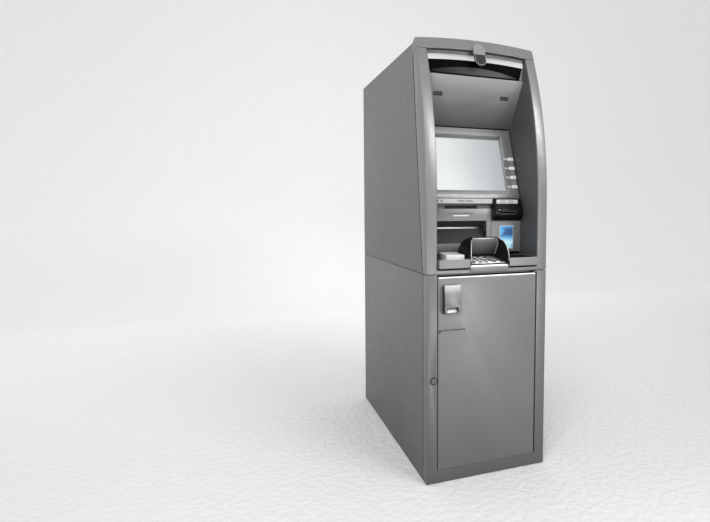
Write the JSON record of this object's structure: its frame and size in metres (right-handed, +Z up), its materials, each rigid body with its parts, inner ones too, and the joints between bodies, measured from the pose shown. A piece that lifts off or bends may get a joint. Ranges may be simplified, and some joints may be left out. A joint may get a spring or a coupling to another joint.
{
  "type": "atm machine",
  "caption": "Free-standing lobby cash machine with a leaning curved fascia, sloped screen, keypad with shield, card reader, cash slot and a cabinet door over a safe.",
  "frame": {"origin": "centre of the bounding box footprint, on the floor", "axes": "+Z up, the front with the screen and the door faces -Y, +X is to the right when looking at the front"},
  "size_m": [0.48, 0.924, 1.601],
  "materials": {
    "silver_paint": "neutral silver-grey metallic powder coat, satin",
    "side_paint": "silver-grey powder coat, slightly darker and less glossy",
    "bezel_paint": "light silver paint on moulded panels, satin",
    "liner_paint": "dark grey satin paint inside the recess",
    "tray_paint": "light silver paint, satin",
    "handle_metal": "satin chrome plating",
    "gloss_black": "gloss black moulded plastic",
    "shield_plastic": "black textured plastic",
    "key_metal": "brushed stainless steel",
    "key_plastic": "white translucent plastic",
    "light_plastic": "white diffuser plastic",
    "display_glass": "pale idle display behind hardened glass",
    "safe_steel": "dark grey textured paint on thick steel",
    "dark_plastic": "dark grey moulded plastic",
    "bolt_steel": "bare machined steel"
  },
  "bodies": {
    "cabinet": {"base_plate": "safe_steel", "left_side_lower": "side_paint", "right_side_lower": "side_paint", "rear_panel_lower": "side_paint", "left_side_upper": "side_paint", "right_side_upper": "side_paint", "rear_panel_upper": "side_paint", "top_panel": "side_paint", "lower_front_frame": "silver_paint", "safe_body": "safe_steel", "cash_dispenser": "dark_plastic", "cash_cassette": "dark_plastic", "computer": "safe_steel"},
    "fascia": {"fascia_frame": "silver_paint", "fascia_cap": "silver_paint", "camera_pod": "gloss_black", "light_strip": "light_plastic", "visor_band": "gloss_black", "recess_liner": "liner_paint", "service_panel": "bezel_paint", "card_reader": "gloss_black", "receipt_printer": "dark_plastic", "pin_shield": "shield_plastic", "left_tray": "tray_paint", "right_tray": "tray_paint", "scanner": "light_plastic", "screen_bezel": "bezel_paint", "display_panel": "display_glass", "keypad_plate": "key_metal"},
    "door": {"cabinet_door": "silver_paint"},
    "handle": {"door_handle": "handle_metal"},
    "lock": {"key_lock": "bolt_steel"},
    "vault_door": {"safe_door": "safe_steel"},
    "vault_handle": {"safe_handle": "bolt_steel"},
    "bolt": {"bolt_bar": "bolt_steel"},
    "shutter": {"cash_shutter": "bolt_steel"},
    "screen_key_left_1_cap": {"screen_key_left_1": "key_plastic"},
    "screen_key_left_2_cap": {"screen_key_left_2": "key_plastic"},
    "screen_key_left_3_cap": {"screen_key_left_3": "key_plastic"},
    "screen_key_left_4_cap": {"screen_key_left_4": "key_plastic"},
    "screen_key_right_1_cap": {"screen_key_right_1": "key_plastic"},
    "screen_key_right_2_cap": {"screen_key_right_2": "key_plastic"},
    "screen_key_right_3_cap": {"screen_key_right_3": "key_plastic"},
    "screen_key_right_4_cap": {"screen_key_right_4": "key_plastic"},
    "pin_key_1_1_cap": {"pin_key_1_1": "key_metal"},
    "pin_key_1_2_cap": {"pin_key_1_2": "key_metal"},
    "pin_key_1_3_cap": {"pin_key_1_3": "key_metal"},
    "pin_key_1_4_cap": {"pin_key_1_4": "key_metal"},
    "pin_key_2_1_cap": {"pin_key_2_1": "key_metal"},
    "pin_key_2_2_cap": {"pin_key_2_2": "key_metal"},
    "pin_key_2_3_cap": {"pin_key_2_3": "key_metal"},
    "pin_key_2_4_cap": {"pin_key_2_4": "key_metal"},
    "pin_key_3_1_cap": {"pin_key_3_1": "key_metal"},
    "pin_key_3_2_cap": {"pin_key_3_2": "key_metal"},
    "pin_key_3_3_cap": {"pin_key_3_3": "key_metal"},
    "pin_key_3_4_cap": {"pin_key_3_4": "key_metal"},
    "pin_key_4_1_cap": {"pin_key_4_1": "key_metal"},
    "pin_key_4_2_cap": {"pin_key_4_2": "key_metal"},
    "pin_key_4_3_cap": {"pin_key_4_3": "key_metal"},
    "pin_key_4_4_cap": {"pin_key_4_4": "key_metal"}
  },
  "joints": [
    {"name": "fascia_slide", "type": "slide", "parent": "cabinet", "child": "fascia", "axis": [0, -1, 0], "range_m": [0, 0.3]},
    {"name": "cabinet_door_hinge", "type": "hinge", "parent": "cabinet", "child": "door", "pos_m": [0.193, -0.431, 0], "axis": [0, 0, 1], "range_deg": [0, 90]},
    {"name": "door_handle_lift", "type": "hinge", "parent": "door", "child": "handle", "pos_m": [-0.151, -0.445, 0.703], "axis": [-1, 0, 0], "range_deg": [0, 35], "stiffness_Nm_per_rad": 0.4},
    {"name": "key_lock_turn", "type": "hinge", "parent": "cabinet", "child": "lock", "pos_m": [-0.214, -0.438, 0.374], "axis": [0, -1, 0], "range_deg": [0, 90]},
    {"name": "safe_door_hinge", "type": "hinge", "parent": "cabinet", "child": "vault_door", "pos_m": [0.168, -0.374, 0], "axis": [0, 0, 1], "range_deg": [0, 85]},
    {"name": "safe_handle_turn", "type": "hinge", "parent": "vault_door", "child": "vault_handle", "pos_m": [-0.06, -0.378, 0.42], "axis": [0, -1, 0], "range_deg": [0, 90]},
    {"name": "bolt_throw", "type": "slide", "parent": "vault_door", "child": "bolt", "axis": [-1, 0, 0], "range_m": [0, 0.018]},
    {"name": "cash_shutter_lift", "type": "slide", "parent": "fascia", "child": "shutter", "axis": [0, 0, 1], "range_m": [0, 0.016]},
    {"name": "screen_key_left_1_press", "type": "slide", "parent": "fascia", "child": "screen_key_left_1_cap", "axis": [0, 0.949, -0.3152], "range_m": [0, 0.0015], "stiffness_N_per_m": 300},
    {"name": "screen_key_left_2_press", "type": "slide", "parent": "fascia", "child": "screen_key_left_2_cap", "axis": [0, 0.949, -0.3152], "range_m": [0, 0.0015], "stiffness_N_per_m": 300},
    {"name": "screen_key_left_3_press", "type": "slide", "parent": "fascia", "child": "screen_key_left_3_cap", "axis": [0, 0.949, -0.3152], "range_m": [0, 0.0015], "stiffness_N_per_m": 300},
    {"name": "screen_key_left_4_press", "type": "slide", "parent": "fascia", "child": "screen_key_left_4_cap", "axis": [0, 0.949, -0.3152], "range_m": [0, 0.0015], "stiffness_N_per_m": 300},
    {"name": "screen_key_right_1_press", "type": "slide", "parent": "fascia", "child": "screen_key_right_1_cap", "axis": [0, 0.949, -0.3152], "range_m": [0, 0.0015], "stiffness_N_per_m": 300},
    {"name": "screen_key_right_2_press", "type": "slide", "parent": "fascia", "child": "screen_key_right_2_cap", "axis": [0, 0.949, -0.3152], "range_m": [0, 0.0015], "stiffness_N_per_m": 300},
    {"name": "screen_key_right_3_press", "type": "slide", "parent": "fascia", "child": "screen_key_right_3_cap", "axis": [0, 0.949, -0.3152], "range_m": [0, 0.0015], "stiffness_N_per_m": 300},
    {"name": "screen_key_right_4_press", "type": "slide", "parent": "fascia", "child": "screen_key_right_4_cap", "axis": [0, 0.949, -0.3152], "range_m": [0, 0.0015], "stiffness_N_per_m": 300},
    {"name": "pin_key_1_1_press", "type": "slide", "parent": "fascia", "child": "pin_key_1_1_cap", "axis": [0, 0.1392, -0.9903], "range_m": [0, 0.002], "stiffness_N_per_m": 400, "springref_m": -0.001},
    {"name": "pin_key_1_2_press", "type": "slide", "parent": "fascia", "child": "pin_key_1_2_cap", "axis": [0, 0.1392, -0.9903], "range_m": [0, 0.002], "stiffness_N_per_m": 400, "springref_m": -0.001},
    {"name": "pin_key_1_3_press", "type": "slide", "parent": "fascia", "child": "pin_key_1_3_cap", "axis": [0, 0.1392, -0.9903], "range_m": [0, 0.002], "stiffness_N_per_m": 400, "springref_m": -0.001},
    {"name": "pin_key_1_4_press", "type": "slide", "parent": "fascia", "child": "pin_key_1_4_cap", "axis": [0, 0.1392, -0.9903], "range_m": [0, 0.002], "stiffness_N_per_m": 400, "springref_m": -0.001},
    {"name": "pin_key_2_1_press", "type": "slide", "parent": "fascia", "child": "pin_key_2_1_cap", "axis": [0, 0.1392, -0.9903], "range_m": [0, 0.002], "stiffness_N_per_m": 400, "springref_m": -0.001},
    {"name": "pin_key_2_2_press", "type": "slide", "parent": "fascia", "child": "pin_key_2_2_cap", "axis": [0, 0.1392, -0.9903], "range_m": [0, 0.002], "stiffness_N_per_m": 400, "springref_m": -0.001},
    {"name": "pin_key_2_3_press", "type": "slide", "parent": "fascia", "child": "pin_key_2_3_cap", "axis": [0, 0.1392, -0.9903], "range_m": [0, 0.002], "stiffness_N_per_m": 400, "springref_m": -0.001},
    {"name": "pin_key_2_4_press", "type": "slide", "parent": "fascia", "child": "pin_key_2_4_cap", "axis": [0, 0.1392, -0.9903], "range_m": [0, 0.002], "stiffness_N_per_m": 400, "springref_m": -0.001},
    {"name": "pin_key_3_1_press", "type": "slide", "parent": "fascia", "child": "pin_key_3_1_cap", "axis": [0, 0.1392, -0.9903], "range_m": [0, 0.002], "stiffness_N_per_m": 400, "springref_m": -0.001},
    {"name": "pin_key_3_2_press", "type": "slide", "parent": "fascia", "child": "pin_key_3_2_cap", "axis": [0, 0.1392, -0.9903], "range_m": [0, 0.002], "stiffness_N_per_m": 400, "springref_m": -0.001},
    {"name": "pin_key_3_3_press", "type": "slide", "parent": "fascia", "child": "pin_key_3_3_cap", "axis": [0, 0.1392, -0.9903], "range_m": [0, 0.002], "stiffness_N_per_m": 400, "springref_m": -0.001},
    {"name": "pin_key_3_4_press", "type": "slide", "parent": "fascia", "child": "pin_key_3_4_cap", "axis": [0, 0.1392, -0.9903], "range_m": [0, 0.002], "stiffness_N_per_m": 400, "springref_m": -0.001},
    {"name": "pin_key_4_1_press", "type": "slide", "parent": "fascia", "child": "pin_key_4_1_cap", "axis": [0, 0.1392, -0.9903], "range_m": [0, 0.002], "stiffness_N_per_m": 400, "springref_m": -0.001},
    {"name": "pin_key_4_2_press", "type": "slide", "parent": "fascia", "child": "pin_key_4_2_cap", "axis": [0, 0.1392, -0.9903], "range_m": [0, 0.002], "stiffness_N_per_m": 400, "springref_m": -0.001},
    {"name": "pin_key_4_3_press", "type": "slide", "parent": "fascia", "child": "pin_key_4_3_cap", "axis": [0, 0.1392, -0.9903], "range_m": [0, 0.002], "stiffness_N_per_m": 400, "springref_m": -0.001},
    {"name": "pin_key_4_4_press", "type": "slide", "parent": "fascia", "child": "pin_key_4_4_cap", "axis": [0, 0.1392, -0.9903], "range_m": [0, 0.002], "stiffness_N_per_m": 400, "springref_m": -0.001}
  ],
  "couplings": [
    {"joint": "safe_door_hinge", "follows": "cabinet_door_hinge", "ratio": 0.94444},
    {"joint": "bolt_throw", "follows": "safe_handle_turn", "m_per_rad": 0.011459}
  ]
}
